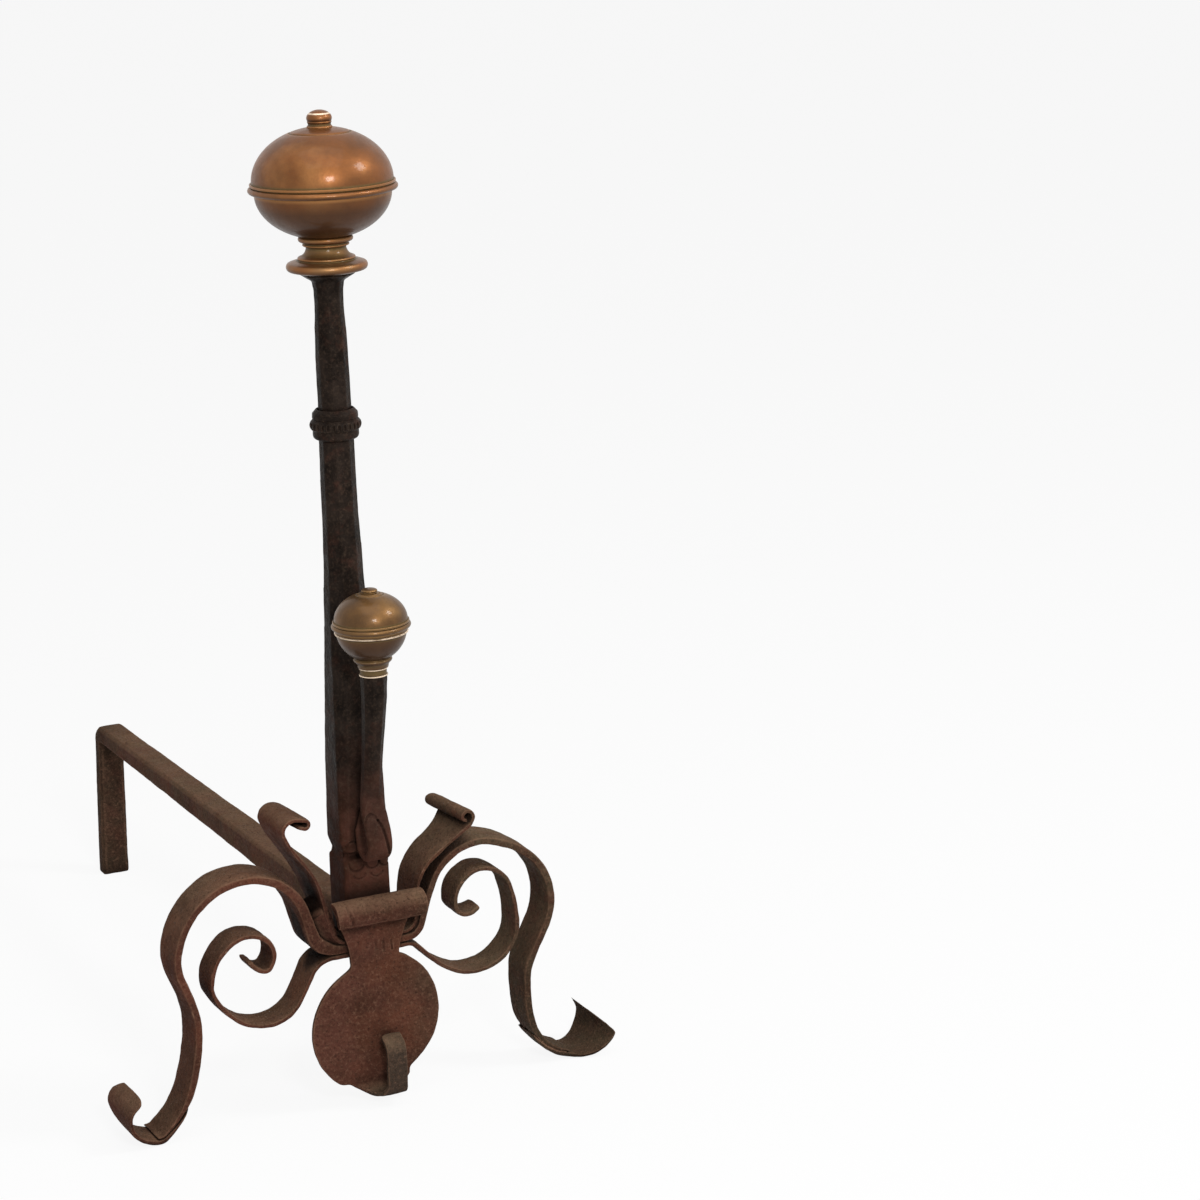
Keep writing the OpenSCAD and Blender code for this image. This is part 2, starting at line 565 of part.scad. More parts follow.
// Section of a hollow cap: rim on z = 0, closed above by a hub with a bore.
module cap_section(r, h, hub, bore_r) {
    inner = quarter(r - brass_wall, h - brass_wall, hub);
    polygon(concat(quarter(r, h, hub), [[bore_r, hub_height(r, h, hub)],
        [bore_r, last(inner)[1]]], reversed(inner)));
}

// The lower bowl of a ball, its hub at the bottom.
module bowl(r, h, hub, bore_r) {
    translate([0, 0, hub_height(r, h, hub)]) mirror([0, 0, 1])
        rotate_extrude() cap_section(r, h, hub, bore_r);
}

// The upper dome of a ball: a bead and a fillet round its rim, and a low step round its hub.
module dome(r, h, hub, bore_r, bead, step_r, step_h) {
    rotate_extrude() {
        translate([0, bead * band_share]) cap_section(r, h, hub, bore_r);
        translate([r - bead / 2, 0]) square([bead * 0.42, bead * band_share + 0.01]);
        translate([r + bead * 0.02, bead / 2]) circle(bead / 2, $fn = 32);
        translate([r - bead / 2, bead * 0.8]) square([bead * 0.78, bead * (band_share - 0.8)]);
        translate([bore_r, bead * band_share + hub_height(r, h, step_r) - brass_wall / 2])
            square([step_r - bore_r, step_h + brass_wall / 2]);
    }
}

// A button: a short stem with a domed head, bored from below.
module button(r, h, bore_r, seat) {
    rotate_extrude() polygon(concat([[bore_r, 0], [r * 0.85, 0], [r * 0.82, h * 0.22], [r, h * 0.36]],
        [for (a = [0:15:75]) [r * cos(a), h * 0.5 + h * 0.5 * sin(a)]],
        [[0, h], [0, seat + fit], [bore_r, seat + fit]]));
}

// ---- Large finial ----
finial_bore_r = post_tenon_d / 2 + fit;
finial_hub_r = finial_r * 0.39;
finial_step_r = finial_r * 0.43;
finial_step_h = 0.5;
finial_bead = 5;
finial_button_r = 8.7;
finial_button_h = 12;
finial_top_hub_r = finial_r * 0.2;
finial_bowl_z = post_top_z + finial_foot_h;
finial_bowl_r = finial_r - 1.5;
finial_rim_z = finial_bowl_z + hub_height(finial_bowl_r, finial_bowl_h, finial_hub_r);
finial_seat_z = finial_rim_z + finial_bead * band_share
    + max(hub_height(finial_r, finial_dome_h, finial_top_hub_r),
        hub_height(finial_r, finial_dome_h, finial_step_r) + finial_step_h);

module finial_foot() {
    h = finial_foot_h;
    r = finial_flange_r;
    waist = finial_hub_r * 0.73;
    color(old_brass) placed() translate([0, 0, post_top_z]) rotate_extrude() polygon(concat(
        [[finial_bore_r, 0], [r * 0.72, 0], [r * 0.93, h * 0.06]],
        [for (a = [-60:20:80]) [r * 0.94 + r * 0.06 * cos(a), h * (0.18 + 0.1 * sin(a))]],
        [for (a = [0:15:90]) [waist + (r * 0.75 - waist) * (1 - sin(a)), h * (0.7 - 0.32 * cos(a))]],
        [[finial_hub_r * 0.93, h * 0.85]],
        [for (a = [-40:20:60]) [finial_hub_r * (0.94 + 0.06 * cos(a)), h * (0.93 + 0.06 * sin(a))]],
        [[finial_hub_r * 0.95, h], [finial_bore_r, h]]));
}

module finial_bowl() {
    color(old_brass) placed() translate([0, 0, finial_bowl_z])
        bowl(finial_bowl_r, finial_bowl_h, finial_hub_r, finial_bore_r);
}

module finial_dome() {
    color(old_brass) placed() translate([0, 0, finial_rim_z])
        dome(finial_r, finial_dome_h, finial_top_hub_r, finial_bore_r, finial_bead,
            finial_step_r, finial_step_h);
}

module finial_button() {
    color(black_iron) placed() translate([0, 0, finial_seat_z])
        button(finial_button_r, finial_button_h, finial_bore_r, button_seat);
}

// ---- Small ball on the front post ----
ball_bore_r = front_tenon_d / 2 + fit;
ball_hub_r = ball_collar_r * 0.92;
ball_top_hub_r = ball_r * 0.2;
ball_step_r = ball_r * 0.36;
ball_step_h = 0.8;
ball_bead = 4;
ball_ferrule_h = 6;
ball_collar_h = 7;
ball_button_h = 3.5;
ball_seat_depth = 1.6;    // how far the tenon reaches into the button
ball_y = -front_post_top[0];
ball_foot_z = front_post_top[1];
ball_collar_z = ball_foot_z + ball_ferrule_h;
ball_bowl_z = ball_collar_z + ball_collar_h;
ball_bowl_r = ball_r - 0.8;
ball_rim_z = ball_bowl_z + hub_height(ball_bowl_r, ball_bowl_h, ball_hub_r);
ball_seat_z = ball_rim_z + ball_bead * band_share
    + max(hub_height(ball_r, ball_dome_h, ball_top_hub_r),
        hub_height(ball_r, ball_dome_h, ball_step_r) + ball_step_h);

module on_front_post(z) {
    translate([0, ball_y, z]) children();
}

// A plain band with a thin lip at each end.
module ball_ferrule() {
    r = front_post_top_side / 2 + 0.3;
    lip = 0.8;
    color(old_brass) placed() on_front_post(ball_foot_z) rotate_extrude() polygon([[ball_bore_r, 0],
        [r + lip, 0], [r + lip, lip], [r, lip * 1.5], [r, ball_ferrule_h - lip * 1.5],
        [r + lip, ball_ferrule_h - lip], [r + lip, ball_ferrule_h], [ball_bore_r, ball_ferrule_h]]);
}

module ball_collar() {
    r = ball_collar_r;
    h = ball_collar_h;
    color(old_brass) placed() on_front_post(ball_collar_z) rotate_extrude() polygon(concat(
        [[ball_bore_r, 0], [r * 0.8, 0]],
        [for (a = [0:15:90]) [r * (0.98 - 0.18 * cos(a)), h * (0.12 + 0.5 * sin(a))]],
        [[r, h * 0.72], [r, h * 0.85], [r * 0.94, h], [ball_bore_r, h]]));
}

module ball_bowl() {
    color(old_brass) placed() on_front_post(ball_bowl_z)
        bowl(ball_bowl_r, ball_bowl_h, ball_hub_r, ball_bore_r);
}

module ball_dome() {
    color(old_brass) placed() on_front_post(ball_rim_z)
        dome(ball_r, ball_dome_h, ball_top_hub_r, ball_bore_r, ball_bead, ball_step_r, ball_step_h);
}

module ball_button() {
    color(black_iron) placed() on_front_post(ball_seat_z)
        button(ball_top_hub_r * 1.1, ball_button_h, ball_bore_r, ball_seat_depth);
}

main_post();
post_collar();
billet_bar();
leg_strap();
left_toe();
right_toe();
leaf_strap();
volute_strap();
front_plate();
front_post();
finial_foot();
finial_bowl();
finial_dome();
finial_button();
ball_ferrule();
ball_collar();
ball_bowl();
ball_dome();
ball_button();
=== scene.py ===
import math

import bpy
from mathutils import Matrix, Vector
from mathutils.bvhtree import BVHTree
from mathutils.geometry import intersect_point_line


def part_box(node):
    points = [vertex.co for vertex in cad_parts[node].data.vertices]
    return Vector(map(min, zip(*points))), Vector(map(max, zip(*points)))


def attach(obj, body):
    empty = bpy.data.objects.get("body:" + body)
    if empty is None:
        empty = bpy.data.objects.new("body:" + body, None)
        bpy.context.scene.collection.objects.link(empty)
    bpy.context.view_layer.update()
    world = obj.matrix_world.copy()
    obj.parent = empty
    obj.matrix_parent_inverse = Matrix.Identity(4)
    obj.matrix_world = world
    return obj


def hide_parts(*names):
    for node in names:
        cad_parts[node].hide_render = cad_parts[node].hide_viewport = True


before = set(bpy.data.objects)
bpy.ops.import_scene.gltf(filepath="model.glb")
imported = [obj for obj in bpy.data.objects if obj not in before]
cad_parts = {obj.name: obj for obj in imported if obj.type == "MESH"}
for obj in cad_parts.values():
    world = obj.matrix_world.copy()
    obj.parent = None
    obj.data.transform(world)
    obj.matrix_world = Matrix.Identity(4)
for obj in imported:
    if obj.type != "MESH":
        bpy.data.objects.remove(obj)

bl_info = {
    "name": "Scroll-Leg Andiron",
    "version": (1, 0, 0),
    "blender": (4, 5, 0),
    "location": "View3D > Sidebar > Andiron",
    "description": "Forged, cast and weathered surfaces of a tall wrought-iron and brass andiron",
    "category": "Add Mesh",
}

MM = 0.001  # metres
FAR = 1000  # mm, beyond the whole andiron, for a box that is open on one side


# ---- Helpers ----

def linear(hex_colour):
    """Turns an sRGB hex colour such as "#8a6240" into linear red, green, blue."""
    parts = [int(hex_colour[i:i + 2], 16) / 255 for i in (1, 3, 5)]
    return tuple(c / 12.92 if c <= 0.04045 else ((c + 0.055) / 1.055) ** 2.4 for c in parts)


def opaque(colour):
    """A colour with alpha 1, as the shader's sockets want it."""
    return (colour[0], colour[1], colour[2], 1.0)


def pick_only(piece):
    """Deselects everything, then selects and activates one piece."""
    for other in list(bpy.context.selected_objects):
        other.select_set(False)
    if piece is not None:
        piece.select_set(True)
    bpy.context.view_layer.objects.active = piece


def modify(piece, kind, **settings):
    """Adds one modifier with its settings and applies it."""
    pick_only(piece)
    modifier = piece.modifiers.new(kind.title(), kind)
    for key, value in settings.items():
        setattr(modifier, key, value)
    bpy.ops.object.modifier_apply(modifier=modifier.name)


def merged_copy(node, name):
    """A copy of one CAD node with its loose triangles merged and turned back to quads."""
    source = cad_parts[node]
    piece = source.copy()
    piece.data = source.data.copy()
    piece.name = name
    piece.parent = None
    piece.matrix_world = Matrix.Identity(4)
    bpy.context.scene.collection.objects.link(piece)
    pick_only(piece)
    bpy.ops.mesh.customdata_custom_splitnormals_clear()
    bpy.ops.object.mode_set(mode="EDIT")
    bpy.ops.mesh.select_all(action="SELECT")
    bpy.ops.mesh.remove_doubles(threshold=0.00001)
    bpy.ops.mesh.tris_convert_to_quads(face_threshold=math.radians(35), shape_threshold=math.radians(80))
    bpy.ops.object.mode_set(mode="OBJECT")
    return piece


def hammered(piece, size, depth):
    """Gentle hollows, size apart and depth deep, as the hammer leaves them."""
    texture = bpy.data.textures.new(piece.name + "_hammer", "CLOUDS")
    texture.noise_scale = size
    texture.noise_depth = 1
    modify(piece, "DISPLACE", texture=texture, texture_coords="LOCAL", strength=depth, mid_level=0.5)


def inside(spot, low, high):
    """Whether a point lies in the box from low to high."""
    return all(low[i] <= spot[i] <= high[i] for i in range(3))


def metres(point):
    """A point given in millimetres, in metres."""
    return [value * MM for value in point]


def refined(piece, low, high, cuts):
    """Cuts the faces inside a box, given in millimetres, into smaller ones, ready for fine marks."""
    low, high = metres(low), metres(high)
    pick_only(piece)
    bpy.context.tool_settings.mesh_select_mode = (False, False, True)
    bpy.ops.object.mode_set(mode="EDIT")
    bpy.ops.mesh.select_all(action="DESELECT")
    bpy.ops.object.mode_set(mode="OBJECT")
    for face in piece.data.polygons:
        face.select = inside(face.center, low, high)
    bpy.ops.object.mode_set(mode="EDIT")
    bpy.ops.mesh.subdivide(number_cuts=cuts)
    bpy.ops.object.mode_set(mode="OBJECT")
    bpy.context.tool_settings.mesh_select_mode = (True, False, False)


def chiselled(piece, line, width, depth, reach=5):
    """Presses a fine groove into the skin that looks forwards, along points (x, y, z), all in millimetres."""
    corners = [Vector(metres(point)) for point in line]
    width, depth, reach = metres((width, depth, reach))
    margin = (width, reach, width)
    low = [min(corner[i] for corner in corners) - margin[i] for i in range(3)]
    high = [max(corner[i] for corner in corners) + margin[i] for i in range(3)]
    upright = Vector((1, 0, 1))
    least_forwards = -0.1
    # The normals follow each move, and moves that are gathered first give slightly different walls.
    for vertex in piece.data.vertices:
        spot = vertex.co
        if not inside(spot, low, high) or vertex.normal.y > least_forwards:
            continue
        gap = width
        for one, two in zip(corners, corners[1:]):
            near, share = intersect_point_line(spot * upright, one * upright, two * upright)
            near = one * upright if share < 0 else two * upright if share > 1 else near
            gap = min(gap, (spot * upright - near).length)
        if gap < width:
            vertex.co.y += depth * (1 - (gap / width) ** 2) ** 2


def half_ring(x, y, z, radius, start, end):
    """Points of an arc on an upright face that looks forwards, in millimetres and degrees."""
    steps = 10
    angles = [math.radians(start + (end - start) * i / steps) for i in range(steps + 1)]
    return [(x + radius * math.cos(a), y, z + radius * math.sin(a)) for a in angles]


def fire_welded(piece, other, low, high, reach):
    """Thickens the sides of a strap inside a box, in millimetres, until they all but meet another piece."""
    low, high, reach = metres(low), metres(high), reach * MM
    fade, seam = 8 * MM, 0.3 * MM
    sideways = 0.5
    tree = BVHTree.FromPolygons([v.co for v in other.data.vertices], [f.vertices for f in other.data.polygons])
    moves = []
    for vertex in piece.data.vertices:
        spot = vertex.co
        if not inside(spot, low, high):
            continue
        way = Vector((vertex.normal.x, 0, vertex.normal.z))
        if way.length < sideways:
            continue
        hit = tree.ray_cast(spot, way.normalized(), reach)
        if hit[0] is None:
            continue
        share = min(1, (high[2] - spot.z) / fade)
        moves.append((vertex.index, way.normalized() * max(0, hit[3] - seam) * share))
    for index, move in moves:
        piece.data.vertices[index].co += move


def swollen(piece, low, high, step):
    """Swells the side of a strap that looks along step, inside a box, all in millimetres."""
    low, high, step = metres(low), metres(high), Vector(metres(step))
    full_at = 1.5  # how soon a face that turns towards step moves in full
    for vertex in piece.data.vertices:
        spot = vertex.co
        if not inside(spot, low, high):
            continue
        looks = vertex.normal.dot(step.normalized())
        if looks > 0:
            # Most at half the height of the box, nothing at its ends.
            rise = math.sin(math.pi * (spot.z - low[2]) / (high[2] - low[2]))
            vertex.co += step * rise * min(1, looks * full_at)


def finished(piece, material, slot, *nodes):
    """Smooth shading, one material, and the CAD nodes that the piece stands for."""
    pick_only(piece)
    bpy.ops.object.shade_smooth()
    piece.data.materials.clear()
    piece.data.materials.append(material)
    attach(piece, "root")
    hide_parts(*nodes)
    return piece


def forged_strap(node, sizes, depth, material):
    """A flat strap with smooth bends, rounded edges and hammer marks."""
    piece = merged_copy(node, node + "_forged")
    modify(piece, "SUBSURF", levels=3, render_levels=3)
    # Blows of the face of the hammer, then finer marks of its edge.
    for share, part in ((1.0, 1.0), (0.3, 0.4)):
        hammered(piece, sizes.hammer_size * share, depth * part)
    return finished(piece, material, "rusty_iron", node)


def forged_bar(node, sizes, voxel, depth, material, slot):
    """A thick bar with softened edges, scaled skin and hammer marks."""
    piece = merged_copy(node, node + "_forged")
    modify(piece, "REMESH", mode="VOXEL", voxel_size=voxel)
    modify(piece, "SMOOTH", factor=0.5, iterations=3)
    for share, part in ((2.5, 1.0), (0.4, 0.25)):
        hammered(piece, sizes.hammer_size * share, depth * part)
    return finished(piece, material, slot, node)


def arc(centre_r, centre_z, radius_r, radius_z, start, end, steps):
    """Points of an oval arc of a profile, in degrees from the outward direction."""
    points = []
    for i in range(steps + 1):
        angle = math.radians(start + (end - start) * i / steps)
        points.append((centre_r + radius_r * math.cos(angle), centre_z + radius_z * math.sin(angle)))
    return points


def turned(name, profile, axis, steps):
    """Turns a closed profile of (radius, height) points in mm round an upright axis."""
    pick_only(None)
    start = Vector((axis[0] + profile[0][0] * MM, axis[1], axis[2] + profile[0][1] * MM))
    bpy.ops.mesh.primitive_plane_add(size=MM, location=start)
    piece = bpy.context.object
    piece.name = name
    bpy.ops.object.mode_set(mode="EDIT")
    bpy.ops.mesh.select_all(action="SELECT")
    bpy.ops.mesh.merge(type="CENTER")
    for (r0, z0), (r1, z1) in zip(profile, profile[1:] + profile[:1]):
        bpy.ops.mesh.extrude_region_move(
            TRANSFORM_OT_translate={"value": ((r1 - r0) * MM, 0, (z1 - z0) * MM)})
    bpy.ops.mesh.select_all(action="SELECT")
    bpy.ops.mesh.remove_doubles(threshold=0.000001)
    bpy.ops.mesh.select_all(action="SELECT")
    bpy.ops.mesh.spin(steps=steps, angle=math.tau, center=axis, axis=(0, 0, 1))
    bpy.ops.mesh.select_all(action="SELECT")
    bpy.ops.mesh.remove_doubles(threshold=0.000001)
    bpy.ops.mesh.normals_make_consistent(inside=False)
    bpy.ops.object.mode_set(mode="OBJECT")
    bpy.ops.object.transform_apply(location=True, rotation=True, scale=True)
    return piece


def cast_piece(node, profile, axis_node, steps, material):
    """A turned brass piece that stands on its CAD node's own base, with crisp mouldings."""
    low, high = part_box(axis_node)
    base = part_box(node)[0][2]
    axis = ((low[0] + high[0]) / 2, (low[1] + high[1]) / 2, base)
    piece = turned(node + "_cast", profile, axis, steps)
    finished(piece, material, "old_brass", node)
    pick_only(piece)
    bpy.ops.object.shade_smooth_by_angle(angle=math.radians(32))
    return piece


# ---- Materials ----

def add(tree, kind, links=(), **settings):
    """Adds a node, sets its own values, then fills or links its inputs."""
    node = tree.nodes.new(kind)
    for key, value in settings.items():
        setattr(node, key, value)
    for key, value in dict(links).items():
        if isinstance(value, bpy.types.NodeSocket):
            tree.links.new(value, node.inputs[key])
        else:
            node.inputs[key].default_value = value
    return node


def new_material(name):
    """An empty material with its shader and output."""
    material = bpy.data.materials.new(name)
    material.use_nodes = True
    tree = material.node_tree
    tree.nodes.clear()
    shader = add(tree, "ShaderNodeBsdfPrincipled")
    add(tree, "ShaderNodeOutputMaterial", {"Surface": shader.outputs["BSDF"]})
    return material, tree, shader


def noise(tree, place, size, detail=4.0, rough=0.6):
    """Noise whose patches are about size metres across."""
    return add(tree, "ShaderNodeTexNoise",
               {"Vector": place, "Scale": 1 / size, "Detail": detail, "Roughness": rough}).outputs["Fac"]


def spread(tree, value, low, high, to_low=0.0, to_high=1.0):
    """Stretches a value from low and high to new limits, clamped."""
    return add(tree, "ShaderNodeMapRange", {"Value": value, "From Min": low, "From Max": high,
                                            "To Min": to_low, "To Max": to_high}).outputs["Result"]


def blend(tree, factor, under, over):
    """Mixes two colours."""
    return add(tree, "ShaderNodeMix", {0: factor, 6: under, 7: over}, data_type="RGBA").outputs[2]


def times(tree, one, two):
    return add(tree, "ShaderNodeMath", {0: one, 1: two}, operation="MULTIPLY").outputs[0]


def plus(tree, one, two):
    return add(tree, "ShaderNodeMath", {0: one, 1: two}, operation="ADD").outputs[0]


def hollows(tree, reach):
    """1 in corners and gaps up to reach metres wide, where ambient occlusion finds shade, and 0 in the open."""
    open_air = add(tree, "ShaderNodeAmbientOcclusion", {"Distance": reach}, samples=8).outputs["AO"]
    return spread(tree, open_air, 0.45, 0.95, 1, 0)


def rusted_wrought_iron(name, colours, olive=0.0, loop=None):
    """Wrought iron, hammered hot and rusted indoors: a matt red-brown skin, pitted like orange peel."""
    material, tree, shader = new_material(name)
    place = add(tree, "ShaderNodeTexCoord").outputs["Object"]
    spot = add(tree, "ShaderNodeSeparateXYZ", {"Vector": place})
    shape = add(tree, "ShaderNodeNewGeometry")
    patches = spread(tree, noise(tree, place, 34 * MM), 0.36, 0.62)
    skin = blend(tree, patches, opaque(colours.rust_dark), opaque(colours.rust))
    warm = spread(tree, noise(tree, place, 60 * MM, 3), 0.50, 0.66, 0, 0.6)
    skin = blend(tree, warm, skin, opaque(colours.rust_warm))
    # The right side was handled more, so olive-grey oxide shows through the rust there.
    sided = plus(tree, spread(tree, spot.outputs["X"], 10 * MM, 90 * MM, 0.0, 0.85), olive)
    oxide = times(tree, spread(tree, noise(tree, place, 26 * MM, 5, 0.7), 0.36, 0.60), sided)
    skin = blend(tree, oxide, skin, opaque(colours.rust_grey))
    if loop:
        # What stands in front of the sheet, low down, is bare grey-black iron.
        proud = times(tree, spread(tree, spot.outputs["Y"], loop[0] - 1 * MM, loop[0] - 4 * MM),
                      spread(tree, spot.outputs["Z"], loop[1], loop[1] - 8 * MM))
        skin = blend(tree, times(tree, proud, 0.85), skin, opaque(colours.bare))
    # Painted top light and ash: whatever looks up is blended towards pale tan, partly ash and dust, partly the
    # light falling from above.
    facing = add(tree, "ShaderNodeSeparateXYZ", {"Vector": shape.outputs["Normal"]}).outputs["Z"]
    drift = spread(tree, noise(tree, place, 11 * MM, 5, 0.7), 0.32, 0.62, 0.5, 1)
    ash_and_top_light = times(tree, spread(tree, facing, 0.0, 0.80, 0, 0.40), drift)
    skin = blend(tree, ash_and_top_light, skin, opaque(colours.ash_and_top_light))
    # Painted shade and green-black iron: the rear leg, at the back, is painted darker because it stands in
    # shade, and the right foot is blacker low down.
    rear_mottle = spread(tree, noise(tree, place, 30 * MM, 5, 0.7), 0.40, 0.58, 0.35, 1)
    rear = times(tree, spread(tree, spot.outputs["Y"], 270 * MM, 315 * MM, 0, 0.75), rear_mottle)
    right = times(tree, spread(tree, spot.outputs["X"], 85 * MM, 120 * MM, 0, 0.6),
                  spread(tree, spot.outputs["Z"], 130 * MM, 50 * MM))
    black_and_shade = add(tree, "ShaderNodeMath", {0: rear, 1: right}, operation="MAXIMUM").outputs[0]
    skin = blend(tree, black_and_shade, skin, opaque(colours.black_and_shade))
    dust = spread(tree, noise(tree, place, 2.6 * MM, 6, 0.8), 0.50, 0.72, 0, 0.5)
    skin = blend(tree, dust, skin, opaque(colours.rust_light))
    soot_and_shade = spread(tree, noise(tree, place, 2.2 * MM, 6, 0.8), 0.47, 0.32, 0, 0.85)
    skin = blend(tree, soot_and_shade, skin, opaque(colours.soot_and_shade))
    handled = spread(tree, noise(tree, place, 9 * MM), 0.35, 0.6, 0.25, 0.8)
    rubbed = times(tree, spread(tree, shape.outputs["Pointiness"], 0.508, 0.55), handled)
    skin = blend(tree, rubbed, skin, opaque(colours.rust_light))
    # Painted shade: corners and gaps, found by ambient occlusion, are darkened with the soot colour.
    skin = blend(tree, times(tree, hollows(tree, 14 * MM), 0.8), skin, opaque(colours.soot_and_shade))
    # Painted shade in the bend left of the post: an oval pocket round middle, darkened with the soot colour,
    # all in millimetres.
    middle, radii = (-38, -262, 134), (16, 11, 28)
    shade_pocket = add(tree, "ShaderNodeMapping", {"Vector": place,
                                             "Location": [-m / r for m, r in zip(middle, radii)],
                                             "Scale": [1 / (r * MM) for r in radii]})
    away = add(tree, "ShaderNodeVectorMath", {0: shade_pocket.outputs["Vector"]}, operation="LENGTH").outputs["Value"]
    skin = blend(tree, spread(tree, away, 1.3, 1.0, 0, 0.88), skin, opaque(colours.soot_and_shade))
    tree.links.new(skin, shader.inputs["Base Color"])
    rough = spread(tree, noise(tree, place, 8 * MM), 0.3, 0.7, 0.66, 0.86)
    tree.links.new(rough, shader.inputs["Roughness"])
    shader.inputs["Specular IOR Level"].default_value = 0.04
    # Pits 1 to 3 mm across and a soft scale of about 8 mm.
    pits = add(tree, "ShaderNodeTexVoronoi", {"Vector": place, "Scale": 1 / (2.6 * MM)}).outputs["Distance"]
    relief = plus(tree, times(tree, spread(tree, pits, 0.05, 0.45), 0.35), noise(tree, place, 3 * MM, 7, 0.7))
    relief = plus(tree, relief, times(tree, noise(tree, place, 9 * MM, 3), 1.2))
    bump = add(tree, "ShaderNodeBump", {"Height": relief, "Strength": 0.9, "Distance": 1.2 * MM})
    tree.links.new(bump.outputs["Normal"], shader.inputs["Normal"])
    return material


def waxed_black_iron(name, colours):
    """Wrought iron blackened by the fire and waxed: satin black, rubbed at the arrises, rusty at the foot."""
    material, tree, shader = new_material(name)
    place = add(tree, "ShaderNodeTexCoord").outputs["Object"]
    edge = add(tree, "ShaderNodeNewGeometry").outputs["Pointiness"]
    height = add(tree, "ShaderNodeSeparateXYZ", {"Vector": place}).outputs["Z"]
    patches = spread(tree, noise(tree, place, 20 * MM, 6, 0.7), 0.38, 0.62)
    skin = blend(tree, patches, opaque(colours.black_dark), opaque(colours.black))
    # Rust takes over below the knee of the post, with a ragged border.
    ragged = plus(tree, height, times(tree, noise(tree, place, 35 * MM, 5, 0.7), -0.16))
    low_down = spread(tree, ragged, 0.09, 0.20, 1.0, 0.0)
    islands = spread(tree, noise(tree, place, 17 * MM, 6, 0.75), 0.52, 0.70, 0, 0.45)
    rust = add(tree, "ShaderNodeMath", {0: low_down, 1: islands}, operation="MAXIMUM").outputs[0]
    rust_skin = blend(tree, patches, opaque(colours.rust_dark), opaque(colours.rust))
    skin = blend(tree, rust, skin, rust_skin)
    dust = spread(tree, noise(tree, place, 2.4 * MM, 6, 0.8), 0.50, 0.72, 0, 0.42)
    skin = blend(tree, dust, skin, opaque(colours.black_worn))
    handled = spread(tree, noise(tree, place, 12 * MM), 0.4, 0.65, 0.1, 0.6)
    worn = times(tree, spread(tree, edge, 0.515, 0.56), handled)
    skin = blend(tree, worn, skin, opaque(colours.black_worn))
    # Painted shade: corners and gaps, found by ambient occlusion, are darkened with the soot colour.
    skin = blend(tree, times(tree, hollows(tree, 14 * MM), 0.85), skin, opaque(colours.soot_and_shade))
    tree.links.new(skin, shader.inputs["Base Color"])
    gloss = spread(tree, noise(tree, place, 7 * MM, 5), 0.3, 0.7, 0.30, 0.48)
    rough = plus(tree, gloss, times(tree, rust, 0.3))
    tree.links.new(rough, shader.inputs["Roughness"])
    shader.inputs["Specular IOR Level"].default_value = 0.03
    pits = add(tree, "ShaderNodeTexVoronoi", {"Vector": place, "Scale": 1 / (3.4 * MM)}).outputs["Distance"]
    relief = plus(tree, times(tree, spread(tree, pits, 0.02, 0.30), 0.4), noise(tree, place, 4 * MM, 6, 0.65))
    relief = plus(tree, relief, times(tree, noise(tree, place, 13 * MM, 3), 1.6))
    bump = add(tree, "ShaderNodeBump", {"Height": relief, "Strength": 0.8, "Distance": 0.9 * MM})
    tree.links.new(bump.outputs["Normal"], shader.inputs["Normal"])
    return material


